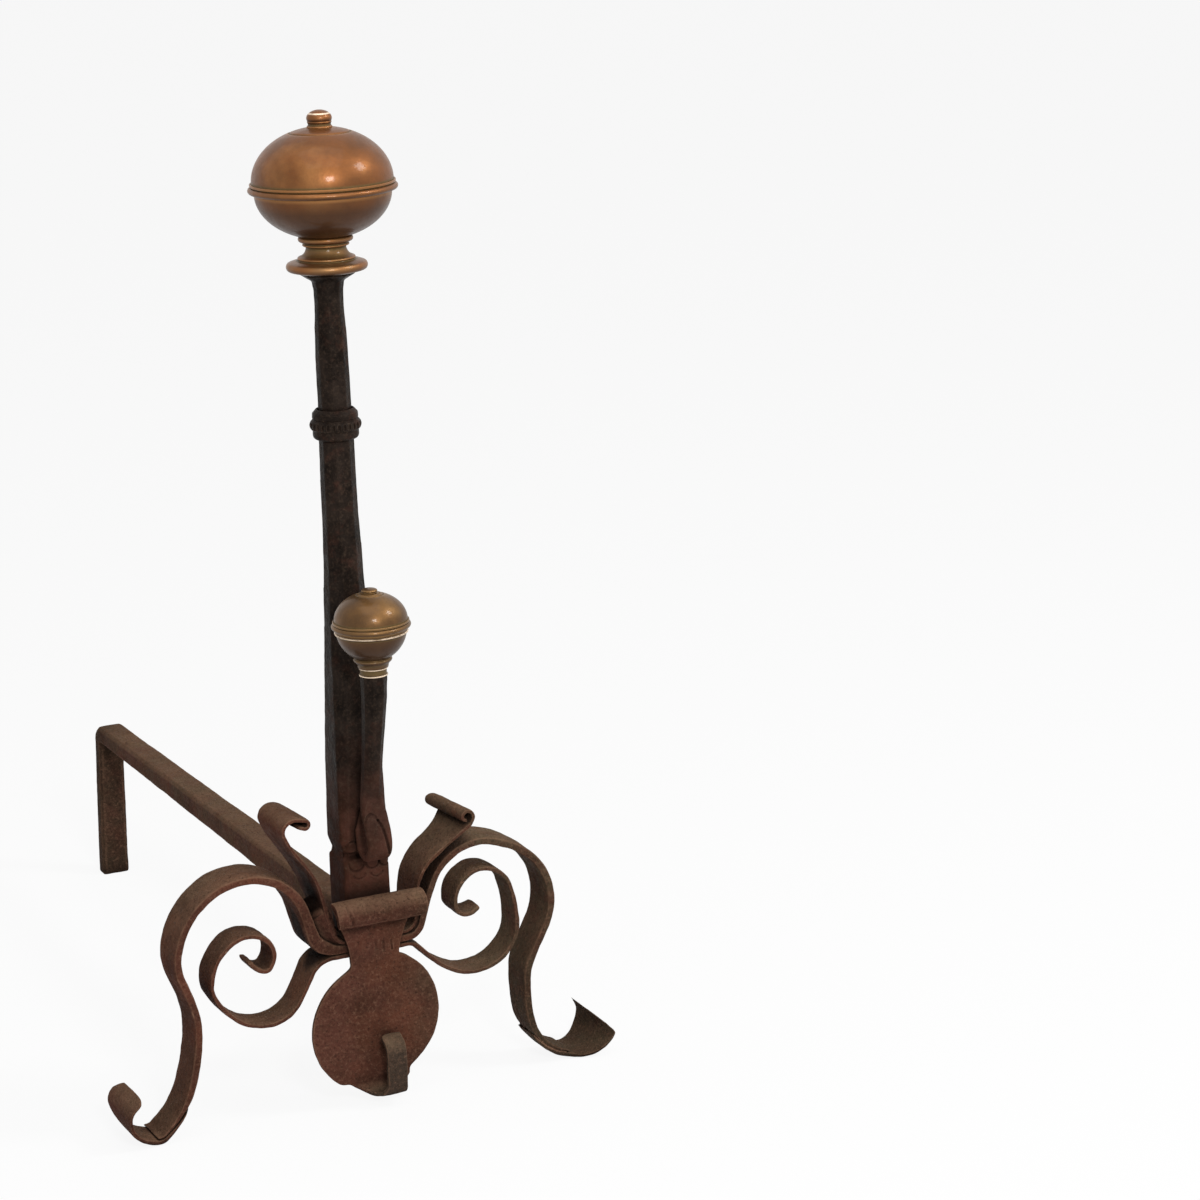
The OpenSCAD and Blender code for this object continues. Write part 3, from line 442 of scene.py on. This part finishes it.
def aged_brass(name, base, dark, rubbed, colours, highlight_lips=()):
    """Cast and turned brass: satin and warm on top, painted darker underneath as shade, dirty in the quirks."""
    material, tree, shader = new_material(name)
    place = add(tree, "ShaderNodeTexCoord").outputs["Object"]
    shape = add(tree, "ShaderNodeNewGeometry")
    patches = spread(tree, noise(tree, place, 26 * MM, 5, 0.62), 0.36, 0.66)
    skin = blend(tree, times(tree, patches, 0.8), opaque(base), opaque(dark))
    polish = spread(tree, noise(tree, place, 38 * MM, 3), 0.52, 0.68, 0, 0.35)
    skin = blend(tree, polish, skin, opaque(rubbed))
    speck = spread(tree, noise(tree, place, 1.8 * MM, 5, 0.7), 0.55, 0.75, 0, 0.45)
    skin = blend(tree, speck, skin, opaque(dark))
    # Painted shade and painted dark reflection: what faces down is much darker.
    facing = add(tree, "ShaderNodeSeparateXYZ", {"Vector": shape.outputs["Normal"]}).outputs["Z"]
    underside_shade = spread(tree, facing, 0.12, -0.45, 0, 0.82)
    skin = blend(tree, underside_shade, skin, opaque(colours.underside_shade))
    groove = spread(tree, shape.outputs["Pointiness"], 0.497, 0.470, 0, 0.9)
    quirk = add(tree, "ShaderNodeMath", {0: groove, 1: times(tree, hollows(tree, 5 * MM), 0.45)},
                operation="MAXIMUM").outputs[0]
    skin = blend(tree, quirk, skin, opaque(colours.crevice))
    crest = spread(tree, shape.outputs["Pointiness"], 0.512, 0.545, 0, 0.5)
    skin = blend(tree, crest, skin, opaque(rubbed))
    # Painted highlights: thin lips are painted bright all round.
    height = add(tree, "ShaderNodeSeparateXYZ", {"Vector": place}).outputs["Z"]
    for lip_highlight in highlight_lips:
        on_lip = add(tree, "ShaderNodeMath", {0: height, 1: lip_highlight, 2: 0.45 * MM}, operation="COMPARE").outputs[0]
        bright = times(tree, on_lip, spread(tree, noise(tree, place, 7 * MM, 5, 0.7), 0.36, 0.50, 0.25, 0.95))
        skin = blend(tree, bright, skin, opaque(colours.lip_highlight))
    tree.links.new(skin, shader.inputs["Base Color"])
    shader.inputs["Metallic"].default_value = 0.8
    # A thin wax polish gives the small white highlight.
    shader.inputs["Coat Weight"].default_value = 0.2
    shader.inputs["Coat Roughness"].default_value = 0.13
    rough = spread(tree, noise(tree, place, 6 * MM, 6, 0.7), 0.3, 0.7, 0.38, 0.56)
    tree.links.new(plus(tree, rough, times(tree, quirk, 0.25)), shader.inputs["Roughness"])
    # Fine upright scratches of about 1 mm by 20 mm, and small dents.
    drawn = add(tree, "ShaderNodeMapping", {"Vector": place, "Scale": (1.0, 1.0, 0.06)}).outputs["Vector"]
    relief = plus(tree, noise(tree, place, 5 * MM, 4, 0.6), times(tree, noise(tree, drawn, 1.2 * MM, 3), 0.5))
    bump = add(tree, "ShaderNodeBump", {"Height": relief, "Strength": 0.4, "Distance": 0.3 * MM})
    tree.links.new(bump.outputs["Normal"], shader.inputs["Normal"])
    return material


# ---- What a user may change ----

class AndironSizes(bpy.types.PropertyGroup):
    """Sizes of the worked surfaces."""
    hammer_size: bpy.props.FloatProperty(
        name="Hammer marks", description="Distance between the hollows left by the hammer",
        default=16 * MM, min=6 * MM, max=50 * MM, subtype="DISTANCE", unit="LENGTH")
    strap_dents: bpy.props.FloatProperty(
        name="Strap dents", description="Depth of the hollows on the straps",
        default=0.9 * MM, min=0.0, max=3 * MM, subtype="DISTANCE", unit="LENGTH")
    bar_dents: bpy.props.FloatProperty(
        name="Bar dents", description="Depth of the hollows on the billet bar",
        default=1.1 * MM, min=0.0, max=4 * MM, subtype="DISTANCE", unit="LENGTH")
    post_dents: bpy.props.FloatProperty(
        name="Post dents", description="Depth of the hollows on the posts",
        default=1.0 * MM, min=0.0, max=3 * MM, subtype="DISTANCE", unit="LENGTH")
    post_grain: bpy.props.FloatProperty(
        name="Post grain", description="Size of the cells that the posts are remeshed with",
        default=0.9 * MM, min=0.5 * MM, max=2 * MM, subtype="DISTANCE", unit="LENGTH")
    lathe_steps: bpy.props.IntProperty(
        name="Lathe steps", description="Steps round each turned brass piece", default=128, min=32, max=256)


class AndironColours(bpy.types.PropertyGroup):
    """Colours of the finishes."""
    black: bpy.props.FloatVectorProperty(
        name="Black iron", description="Waxed black iron",
        subtype="COLOR", size=3, default=linear("#2a221d"))
    black_dark: bpy.props.FloatVectorProperty(
        name="Black iron, dark", description="Hollows of the black iron",
        subtype="COLOR", size=3, default=linear("#15100d"))
    black_worn: bpy.props.FloatVectorProperty(
        name="Black iron, worn", description="Rubbed corners of the posts",
        subtype="COLOR", size=3, default=linear("#57473a"))
    rust: bpy.props.FloatVectorProperty(
        name="Rust", description="Brown rust of the straps",
        subtype="COLOR", size=3, default=linear("#55342a"))
    rust_dark: bpy.props.FloatVectorProperty(
        name="Rust, dark", description="Hollows of the rusted iron",
        subtype="COLOR", size=3, default=linear("#40271d"))
    rust_warm: bpy.props.FloatVectorProperty(
        name="Rust, warm", description="Redder bloom of the rust",
        subtype="COLOR", size=3, default=linear("#643b2b"))
    rust_grey: bpy.props.FloatVectorProperty(
        name="Rust, grey", description="Grey-green patches of handled iron",
        subtype="COLOR", size=3, default=linear("#4b4232"))
    rust_light: bpy.props.FloatVectorProperty(
        name="Rust, rubbed", description="Rubbed edges and dusty specks",
        subtype="COLOR", size=3, default=linear("#856450"))
    bare: bpy.props.FloatVectorProperty(
        name="Bare iron", description="Grey-black iron of the loop",
        subtype="COLOR", size=3, default=linear("#3b332b"))
    # This colour also paints light on the upper sides.
    ash_and_top_light: bpy.props.FloatVectorProperty(
        name="Ash", description="Tan ash and dust on upper sides",
        subtype="COLOR", size=3, default=linear("#8d735a"))
    # This colour also paints shade on the rear leg.
    black_and_shade: bpy.props.FloatVectorProperty(
        name="Burnt iron", description="Green-black iron of the rear leg",
        subtype="COLOR", size=3, default=linear("#2b241b"))
    # The soot colour also paints shade in corners, in gaps and in the bend left of the post.
    soot_and_shade: bpy.props.FloatVectorProperty(
        name="Soot", description="Dirt in pits, corners and gaps",
        subtype="COLOR", size=3, default=linear("#1a110d"))
    brass: bpy.props.FloatVectorProperty(
        name="Large finial", description="Coppery brass of the large finial",
        subtype="COLOR", size=3, default=linear("#7d4b22"))
    brass_dark: bpy.props.FloatVectorProperty(
        name="Large finial, dark", description="Smoked patches of the large finial",
        subtype="COLOR", size=3, default=linear("#5e3a1b"))
    brass_rubbed: bpy.props.FloatVectorProperty(
        name="Large finial, rubbed", description="Crests and handled patches of the large finial",
        subtype="COLOR", size=3, default=linear("#a87441"))
    ball: bpy.props.FloatVectorProperty(
        name="Small ball", description="Olive brass of the small ball",
        subtype="COLOR", size=3, default=linear("#6f4e28"))
    ball_dark: bpy.props.FloatVectorProperty(
        name="Small ball, dark", description="Smoked patches of the small ball",
        subtype="COLOR", size=3, default=linear("#4d351c"))
    ball_rubbed: bpy.props.FloatVectorProperty(
        name="Small ball, rubbed", description="Crests and handled patches of the small ball",
        subtype="COLOR", size=3, default=linear("#957346"))
    # Painted highlight colour for thin lips.
    lip_highlight: bpy.props.FloatVectorProperty(
        name="Bright lip", description="Thin lips worn bright",
        subtype="COLOR", size=3, default=linear("#eed8be"))
    verdigris: bpy.props.FloatVectorProperty(
        name="Verdigris brass", description="Dull green-brown brass of the feet and collars",
        subtype="COLOR", size=3, default=linear("#7a5f3d"))
    verdigris_dark: bpy.props.FloatVectorProperty(
        name="Verdigris brass, dark", description="Darker patches of the dull brass",
        subtype="COLOR", size=3, default=linear("#5f482d"))
    # Painted shade on the undersides of the brass.
    underside_shade: bpy.props.FloatVectorProperty(
        name="Brass, smoked", description="Underside of the brass, toned by smoke",
        subtype="COLOR", size=3, default=linear("#3e2513"))
    crevice: bpy.props.FloatVectorProperty(
        name="Brass crevices", description="Green-brown dirt in the mouldings",
        subtype="COLOR", size=3, default=linear("#66522f"))


# ---- Pieces ----

class ANDIRON_OT_straps(bpy.types.Operator):
    """Forges the leg strap with its toes, the leaf strap, the volute strap and the front plate"""
    bl_idname = "andiron.straps"
    bl_label = "Forge the straps"

    def execute(self, context):
        sizes = context.scene.andiron_sizes
        colours = context.scene.andiron_colours
        iron = rusted_wrought_iron("rusted_wrought_iron", colours)
        pieces = {}
        for node in ("leg_strap", "left_toe", "right_toe", "leaf_strap", "volute_strap"):
            pieces[node] = forged_strap(node, sizes, sizes.strap_dents, iron)
        leaf, leg = pieces["leaf_strap"], pieces["leg_strap"]
        # Beside the post the leaf strap is welded to the leg strap, behind their front edges.
        set_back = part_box("leaf_strap")[0][1] / MM + 9
        fire_welded(leaf, leg, (-52, set_back, 118), (-19, FAR, 166), 9)
        fire_welded(leaf, leg, (19, set_back, 118), (52, FAR, 142), 9)
        # The lapped tip of the right toe is closed on the leg.
        fire_welded(pieces["right_toe"], leg, (118, -FAR, 5), (150, FAR, 44), 6)
        # The root of the left leaf is upset, thicker on its inner side.
        swollen(leaf, (-40, -FAR, 122), (-22, FAR, 156), (3.2, 0, 0))
        low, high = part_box("main_post")
        sheet_front = (low[1] + high[1]) / 2 - 21 * MM
        loop_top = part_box("front_plate")[0][2] + 58 * MM
        iron = rusted_wrought_iron("rusted_sheet_iron", colours, loop=(sheet_front, loop_top))
        plate = forged_strap("front_plate", sizes, sizes.strap_dents, iron)
        front = sheet_front / MM
        # Two cracks across the roll.
        refined(plate, (-30, -FAR, 138), (12, front - 8, FAR), 2)
        right_crack = [(8.5, front - 14, 163), (5.5, front - 16, 155), (6.2, front - 18, 149),
                       (5.4, front - 16, 142)]
        left_crack = [(-25.5, front - 15, 159), (-23.9, front - 18, 152), (-20.5, front - 16, 142)]
        chiselled(plate, right_crack, 1.1, 1.3, 9)
        chiselled(plate, left_crack, 1.1, 1.4, 9)
        # Three nicks of a chisel on the neck, 7 mm long.
        refined(plate, (-3, front - 2, 112), (17, front + 1, 126), 3)
        for x, top in ((1.4, 123.6), (7.1, 122.0), (13.2, 121.4)):
            chiselled(plate, [(x, front, top), (x + 0.4, front, top - 7)], 0.9, 1.0)
        return {"FINISHED"}


class ANDIRON_OT_billet_bar(bpy.types.Operator):
    """Forges the billet bar with its rear leg"""
    bl_idname = "andiron.billet_bar"
    bl_label = "Forge the billet bar"

    def execute(self, context):
        sizes = context.scene.andiron_sizes
        iron = rusted_wrought_iron("scaled_bar_iron", context.scene.andiron_colours, olive=0.45)
        forged_bar("billet_bar", sizes, sizes.post_grain * 1.2, sizes.bar_dents, iron, "rusty_iron")
        return {"FINISHED"}


class ANDIRON_OT_posts(bpy.types.Operator):
    """Forges the main post, its collar and the front post"""
    bl_idname = "andiron.posts"
    bl_label = "Forge the posts"

    def execute(self, context):
        sizes = context.scene.andiron_sizes
        iron = waxed_black_iron("waxed_black_iron", context.scene.andiron_colours)
        grain, dents = sizes.post_grain, sizes.post_dents
        post = forged_bar("main_post", sizes, grain, dents, iron, "black_iron")
        forged_bar("post_collar", sizes, grain * 0.4, dents * 0.3, iron, "black_iron")
        eye = forged_bar("front_post", sizes, grain * 0.7, dents * 0.7, iron, "black_iron")
        low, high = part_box("main_post")
        middle = (low[1] + high[1]) / 2 / MM
        half_block = 17
        front = middle - half_block
        # The front of the groove over the block is cut sharper than its sides.
        refined(post, (-20, -FAR, 182), (20, front + 4, 192), 1)
        groove = [(-15.5, 186.6), (-6, 187.2), (4, 186.4), (15.5, 187.0)]
        chiselled(post, [(x, front + 1.5, z) for x, z in groove], 3.2, 3.4)
        # Half-round punch marks in two rows on the block and one on the foot of the shaft.
        refined(post, (-18, -FAR, 166), (18, front + 3, 200), 1)
        for x, radius in ((-8.3, 5.6), (3.6, 5.2), (13.2, 4.6)):
            chiselled(post, half_ring(x, front, 181, radius, 175, 365), 1.1, 1.0)
        for x in (-6.5, 6.5):
            chiselled(post, half_ring(x, front, 174, 4.8, 200, 340), 1.0, 0.7)
        for x in (-10.2, 1.2, 12.2):
            chiselled(post, half_ring(x, front - 1, 193.4, 4.9, 0, 180), 1.1, 1.0)
        # The drawn-out tip is lapped on the front of the post, and its edge still shows.
        seam = [(1.1, 217.3), (2.8, 213.5), (3.8, 209.2), (4.6, 204.3), (5.7, 199.0), (7.1, 193.5)]
        chiselled(eye, [(x, middle - 42, z) for x, z in seam], 1.3, 2.0, 6)
        tip = [(-8.5, 216.5), (-7.0, 220.0), (-3.8, 222.3), (-0.8, 220.8), (1.1, 217.3)]
        chiselled(eye, [(x, middle - 38, z) for x, z in tip], 1.1, 1.0, 6)
        return {"FINISHED"}


class ANDIRON_OT_large_finial(bpy.types.Operator):
    """Turns the large brass finial: foot, bowl, dome and button"""
    bl_idname = "andiron.large_finial"
    bl_label = "Turn the large finial"

    def execute(self, context):
        steps = context.scene.andiron_sizes.lathe_steps
        colours = context.scene.andiron_colours
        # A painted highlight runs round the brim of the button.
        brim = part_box("finial_button")[0][2] + 9.6 * MM
        brass = aged_brass("smoke_toned_brass", colours.brass, colours.brass_dark, colours.brass_rubbed,
                           colours, highlight_lips=(brim,))
        foot = ([(5.7, 0), (20, 0), (21.5, 0.3), (24.5, 1.1)] + arc(25.4, 4.4, 2.6, 3.0, -70, 80, 12)
                + [(24.2, 7.9), (21.0, 8.5), (19.7, 8.8)] + arc(18.9, 10.0, 1.0, 1.1, -50, 70, 6)
                + [(17.6, 11.6), (16.0, 12.6), (14.8, 14.2), (14.0, 16.0), (13.8, 17.2), (14.3, 18.3)]
                + arc(15.2, 19.2, 0.9, 0.8, -60, 70, 6) + [(15.5, 20.4), (16.9, 21.0)]
                + arc(17.5, 23.2, 1.4, 1.8, -60, 80, 8) + [(17.2, 25.5), (5.7, 25.5)])
        dull = aged_brass("green_toned_brass", colours.brass, colours.verdigris, colours.brass_rubbed, colours)
        cast_piece("finial_foot", foot, "finial_foot", steps, dull)
        rim = 29.75
        bowl = ([(5.7, 0), (17.9, 0)] + arc(0, rim, 47, 32.5, -66.3, -3, 26) + [(47, rim), (45, rim)]
                + arc(0, rim, 45, 30.5, 0, -65.1, 20) + [(5.7, 2.0)])
        cast_piece("finial_bowl", bowl, "finial_bowl", steps, brass)
        dome = ([(46, 0), (47.6, 0)] + arc(48.5, 2.4, 2.7, 2.3, -80, 75, 14)
                + [(48.7, 4.9), (48.6, 5.2), (49.7, 5.5), (49.8, 6.6), (49.4, 7.0), (48.5, 7.1)]
                + arc(0, 7, 48.5, 37, 2, 62.5, 26)
                + [(21.6, 40.0), (21.2, 39.6), (20.6, 39.7), (20.2, 40.4)]
                + arc(0, 7, 48.5, 37, 66, 78.5, 6) + [(5.7, 43.3), (5.7, 41.2)]
                + arc(0, 7, 46.5, 35, 76, 0, 20) + [(46, 7)])
        cast_piece("finial_dome", dome, "finial_dome", steps, brass)
        button = ([(5.7, 0), (8.6, 0), (8.8, 0.5), (8.5, 1.1), (7.9, 1.6), (7.8, 2.4), (8.1, 3.2), (8.4, 3.8)]
                  + arc(0, 6.4, 8.7, 5.6, -20, 88, 14) + [(0, 12), (0, 6.2), (5.7, 6.2)])
        cast_piece("finial_button", button, "finial_button", steps, brass)
        return {"FINISHED"}


class ANDIRON_OT_small_ball(bpy.types.Operator):
    """Turns the small brass ball: ferrule, collar, bowl, dome and button"""
    bl_idname = "andiron.small_ball"
    bl_label = "Turn the small ball"

    def execute(self, context):
        steps = context.scene.andiron_sizes.lathe_steps
        colours = context.scene.andiron_colours
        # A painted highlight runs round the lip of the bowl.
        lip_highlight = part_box("ball_bowl")[0][2] + 18.2 * MM
        brass = aged_brass("olive_brass", colours.ball, colours.ball_dark, colours.ball_rubbed,
                           colours, highlight_lips=(lip_highlight,))
        low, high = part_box("ball_ferrule")[0][2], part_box("ball_ferrule")[1][2]
        dull = aged_brass("dull_collar_brass", colours.verdigris, colours.verdigris_dark,
                          colours.ball_dark, colours)
        # The band's base colour is the underside shade colour, and both of its edges get painted highlights.
        band = aged_brass("sooty_band_brass", colours.underside_shade, colours.soot_and_shade, colours.ball_dark, colours,
                          highlight_lips=(low + 0.6 * MM, high - 0.6 * MM))
        ferrule = [(3.7, 0), (9.7, 0), (10.1, 0.3), (10.1, 0.8), (9.6, 1.2), (9.3, 1.5), (9.3, 4.5), (9.6, 4.8),
                   (10.1, 5.2), (10.1, 5.7), (9.7, 6.0), (3.7, 6.0)]
        cast_piece("ball_ferrule", ferrule, "ball_ferrule", steps, band)
        collar = ([(3.7, 0), (10.6, 0), (10.8, 0.9), (11.0, 2.0), (11.7, 3.2), (12.8, 4.2), (13.3, 4.8)]
                  + arc(12.8, 5.6, 0.7, 0.9, -30, 80, 6) + [(12.6, 7.0), (3.7, 7.0)])
        cast_piece("ball_collar", collar, "ball_collar", steps, dull)
        rim = 20.83
        bowl = ([(3.7, 0), (12.2, 0)] + arc(0, rim, 24.7, 24, -59.8, -10, 20)
                + [(24.9, rim - 3.6), (25.5, rim - 3.1), (25.6, rim - 2.6), (25.0, rim - 2.2)]
                + [(24.7, rim - 1.8), (24.7, rim), (22.7, rim)]
                + arc(0, rim, 22.7, 22, 0, -57, 16) + [(3.7, 2.2)])
        cast_piece("ball_bowl", bowl, "ball_bowl", steps, brass)
        dome = ([(23.5, 0), (24.9, 0)] + arc(25.5, 2.0, 2.1, 1.9, -80, 80, 12)
                + [(25.7, 4.0), (26.5, 4.2), (26.6, 5.2), (26.2, 5.6), (25.5, 5.7)]
                + arc(0, 5.6, 25.5, 19.5, 3, 66, 20)
                + [(9.7, 23.5), (9.4, 23.2), (9.0, 23.8), (7.6, 24.5), (7.3, 24.2), (7.0, 24.6), (5.3, 24.9)]
                + [(3.7, 24.9), (3.7, 22.6)] + arc(0, 5.6, 23.5, 17.5, 70, 0, 14) + [(23.5, 5.6)])
        cast_piece("ball_dome", dome, "ball_dome", steps, brass)
        button = ([(3.7, 0), (4.8, 0), (4.7, 0.8)] + arc(0, 1.7, 5.6, 1.8, -20, 88, 10)
                  + [(0, 3.5), (0, 1.8), (3.7, 1.8)])
        cast_piece("ball_button", button, "ball_button", steps, brass)
        return {"FINISHED"}


# Name, turn and rise in degrees, reach and size in metres, power in watts. The first two stand where
# the highlights on the large finial say, and the third is a wide soft light from above.
LAMPS = (("key_lamp", 17, 25, 2.6, 0.5, 34),
         ("side_lamp", 82, 39, 2.6, 0.6, 26),
         ("top_lamp", 10, 76, 2.4, 2.0, 17))


class ANDIRON_OT_stage(bpy.types.Operator):
    """Sets the floor, the lamps, the world and the camera"""
    bl_idname = "andiron.stage"
    bl_label = "Set the stage"

    def execute(self, context):
        scene = context.scene
        pick_only(None)
        bpy.ops.mesh.primitive_plane_add(size=60, location=(0, 0, 0))
        floor = context.object
        floor.name = "floor"
        floor.data.materials.append(pale_floor())
        scene.world = white_room()
        # The camera stands to the left and well back, a little above the finial.
        yaw, pitch, roll = math.radians(25.53), math.radians(14.24), math.radians(-2.02)
        ahead = Vector((math.sin(yaw) * math.cos(pitch), math.cos(yaw) * math.cos(pitch), -math.sin(pitch)))
        side = Vector((math.cos(yaw), -math.sin(yaw), 0))
        above = side.cross(ahead)
        right = math.cos(roll) * side + math.sin(roll) * above
        up = -math.sin(roll) * side + math.cos(roll) * above
        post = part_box("main_post")
        post_y = (post[0][1] + post[1][1]) / 2
        spot = Vector((-0.8620, -2.2183 + post_y, 0.9647))
        bpy.ops.object.camera_add()
        camera = context.object
        camera.name = "camera"
        camera.data.lens = 105.0
        camera.data.sensor_width = 36.0
        camera.data.clip_end = 50
        camera.matrix_world = Matrix((
            (right[0], up[0], -ahead[0], spot[0]), (right[1], up[1], -ahead[1], spot[1]),
            (right[2], up[2], -ahead[2], spot[2]), (0, 0, 0, 1)))
        scene.camera = camera
        # Turns are to the right of the camera, seen from the andiron.
        target = Vector((0, post_y, 0.45))
        towards = -Vector((math.sin(yaw), math.cos(yaw), 0))
        for name, turn, rise, reach, size, power in LAMPS:
            turn, rise = math.radians(turn), math.radians(rise)
            flat = math.cos(turn) * towards + math.sin(turn) * side
            place = target + reach * (math.cos(rise) * flat + Vector((0, 0, math.sin(rise))))
            bpy.ops.object.light_add(type="AREA", location=place)
            lamp = context.object
            lamp.name = name
            lamp.data.size = size
            lamp.data.energy = power
            lamp.rotation_euler = (target - place).to_track_quat("-Z", "Y").to_euler()
        scene.view_settings.view_transform = "Standard"
        return {"FINISHED"}


def seen_as_white(tree):
    """1 for camera, glossy and transmission rays, and 0 for the rays that light the andiron."""
    rays = add(tree, "ShaderNodeLightPath").outputs
    seen = rays["Is Camera Ray"]
    for other in ("Is Glossy Ray", "Is Transmission Ray"):
        seen = add(tree, "ShaderNodeMath", {0: seen, 1: rays[other]}, operation="MAXIMUM").outputs[0]
    return seen


def pale_floor():
    """A plain white studio floor that still takes the andiron's shadow."""
    material, tree, shader = new_material("pale_floor")
    shader.inputs["Base Color"].default_value = (0.9, 0.9, 0.9, 1)
    shader.inputs["Roughness"].default_value = 0.9
    shader.inputs["Specular IOR Level"].default_value = 0.0
    glow = add(tree, "ShaderNodeEmission", {"Color": (1, 1, 1, 1), "Strength": 1.0})
    white = times(tree, seen_as_white(tree), 0.9)
    mixed = add(tree, "ShaderNodeMixShader", {0: white, 1: shader.outputs["BSDF"], 2: glow.outputs["Emission"]})
    output = next(n for n in tree.nodes if n.type == "OUTPUT_MATERIAL")
    tree.links.new(mixed.outputs["Shader"], output.inputs["Surface"])
    return material


def white_room():
    """A white room: white where the camera or a reflection sees it, softer where it lights."""
    world = bpy.data.worlds.new("white_room")
    world.use_nodes = True
    tree = world.node_tree
    tree.nodes.clear()
    strength = spread(tree, seen_as_white(tree), 0, 1, 0.30, 1.0)
    sky = add(tree, "ShaderNodeBackground", {"Color": (1, 1, 1, 1), "Strength": strength})
    add(tree, "ShaderNodeOutputWorld", {"Surface": sky.outputs["Background"]})
    return world


class ANDIRON_PT_panel(bpy.types.Panel):
    """Lists the pieces of the andiron"""
    bl_label = "Andiron"
    bl_idname = "ANDIRON_PT_panel"
    bl_space_type = "VIEW_3D"
    bl_region_type = "UI"
    bl_category = "Andiron"

    def draw(self, context):
        layout = self.layout
        for operator in OPERATORS:
            layout.operator(operator.bl_idname)
        for group in (context.scene.andiron_sizes, context.scene.andiron_colours):
            for name in group.__annotations__:
                layout.prop(group, name)


OPERATORS = (ANDIRON_OT_straps, ANDIRON_OT_billet_bar, ANDIRON_OT_posts, ANDIRON_OT_large_finial,
             ANDIRON_OT_small_ball, ANDIRON_OT_stage)
CLASSES = (AndironSizes, AndironColours) + OPERATORS + (ANDIRON_PT_panel,)


def register():
    for cls in CLASSES:
        bpy.utils.register_class(cls)
    bpy.types.Scene.andiron_sizes = bpy.props.PointerProperty(type=AndironSizes)
    bpy.types.Scene.andiron_colours = bpy.props.PointerProperty(type=AndironColours)


def unregister():
    del bpy.types.Scene.andiron_colours
    del bpy.types.Scene.andiron_sizes
    for cls in reversed(CLASSES):
        bpy.utils.unregister_class(cls)


def main():
    """Builds the whole dressed andiron."""
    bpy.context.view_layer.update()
    register()
    bpy.ops.andiron.straps()
    bpy.ops.andiron.billet_bar()
    bpy.ops.andiron.posts()
    bpy.ops.andiron.large_finial()
    bpy.ops.andiron.small_ball()
    bpy.ops.andiron.stage()


if __name__ == "__main__":
    main()
